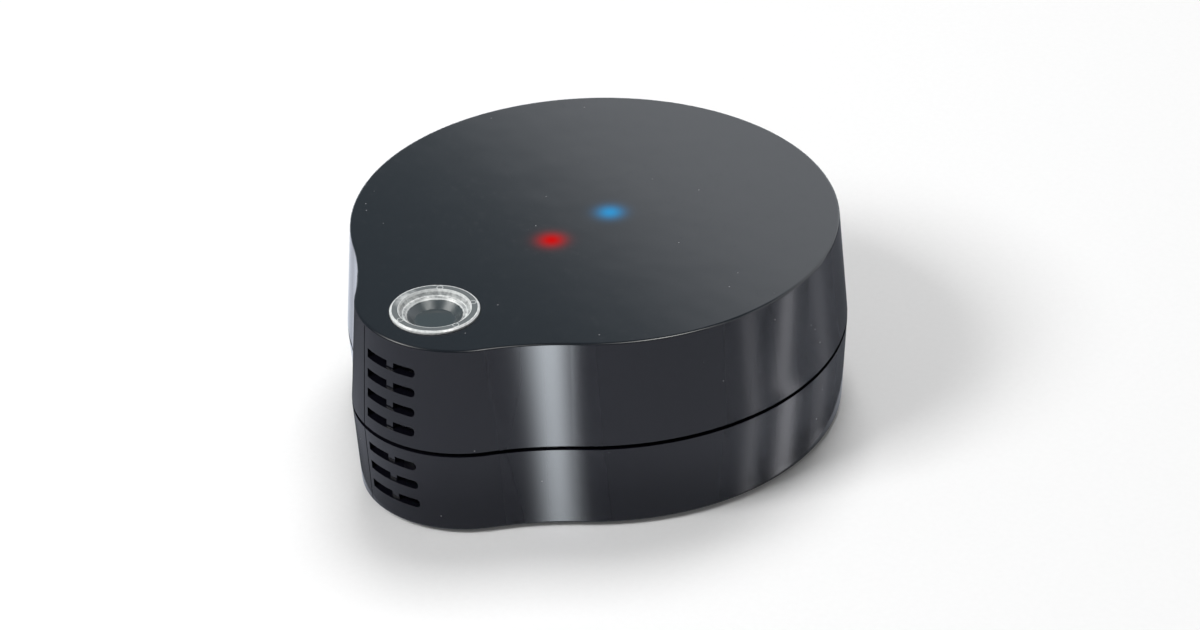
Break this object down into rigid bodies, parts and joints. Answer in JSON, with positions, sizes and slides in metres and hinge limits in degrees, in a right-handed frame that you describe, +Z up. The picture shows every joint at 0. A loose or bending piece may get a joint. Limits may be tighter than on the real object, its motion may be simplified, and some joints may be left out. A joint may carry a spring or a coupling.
{
  "type": "smart infrared blaster",
  "caption": "Low pear-shaped black hub with a clear dished infrared window on its nose, vent slots in front, glowing status lights on top and a rear power inlet.",
  "frame": {"origin": "bottom centre of the bounding box, on the plane that the rubber feet stand on", "axes": "+Z up; the nose with the window and the vents points to -Y; the power inlet and the reset button are at +Y; the outline is mirrored about X = 0"},
  "size_m": [0.09, 0.1, 0.0375],
  "materials": {
    "case_plastic": "smooth moulded plastic with a satin gloss, black",
    "clear_plastic": "polished clear acrylic",
    "filter_plastic": "dark plastic that passes only infrared",
    "holder_plastic": "matt black moulded plastic",
    "emitter_resin": "tinted clear resin",
    "receiver_resin": "dark resin",
    "pipe_plastic": "clear light pipe with a frosted top",
    "red_lamp": "red light-emitting diode",
    "blue_lamp": "blue light-emitting diode",
    "green_board": "glass-fibre board with green solder resist",
    "blue_board": "glass-fibre board with blue solder resist",
    "screw_steel": "zinc-plated steel",
    "foot_rubber": "black rubber",
    "tinned_sheet": "tinned sheet metal",
    "copper_track": "copper track",
    "chip_resin": "black moulding resin",
    "ferrite": "dark grey ferrite",
    "capacitor_can": "drawn aluminium can",
    "ceramic": "tan ceramic",
    "socket_plastic": "black engineering plastic",
    "gilt": "gold-plated contact",
    "sensor_plastic": "white moulded housing",
    "plunger_plastic": "tan switch plunger",
    "button_plastic": "satin black moulded button"
  },
  "bodies": {
    "case": {"bottom_shell": "case_plastic", "top_shell": "case_plastic", "ir_window": "clear_plastic", "ir_filter": "filter_plastic", "emitter_holder": "holder_plastic", "ir_emitters": "emitter_resin", "ir_receiver": "receiver_resin", "light_baffle": "holder_plastic", "red_light_pipe": "pipe_plastic", "blue_light_pipe": "pipe_plastic", "red_led": "red_lamp", "blue_led": "blue_lamp", "main_board": "green_board", "board_screws": "screw_steel", "case_screws": "screw_steel", "rubber_feet": "foot_rubber", "wifi_board": "blue_board", "wifi_shield": "tinned_sheet", "wifi_antenna": "copper_track", "microcontroller": "chip_resin", "chip_leads": "tinned_sheet", "memory_chip": "chip_resin", "crystal": "tinned_sheet", "voltage_regulator": "chip_resin", "inductor": "ferrite", "power_capacitors": "capacitor_can", "driver_transistors": "chip_resin", "chip_resistors": "chip_resin", "chip_capacitors": "ceramic", "usb_socket": "tinned_sheet", "usb_core": "socket_plastic", "usb_contacts": "gilt", "sensor_board": "green_board", "climate_sensor": "sensor_plastic", "sensor_pins": "gilt", "reset_switch": "socket_plastic"},
    "button": {"reset_button": "button_plastic", "switch_plunger": "plunger_plastic"}
  },
  "joints": [
    {"name": "reset_press", "type": "slide", "parent": "case", "child": "button", "axis": [0, -1, 0], "range_m": [0, 0.0004], "stiffness_N_per_m": 1500}
  ]
}
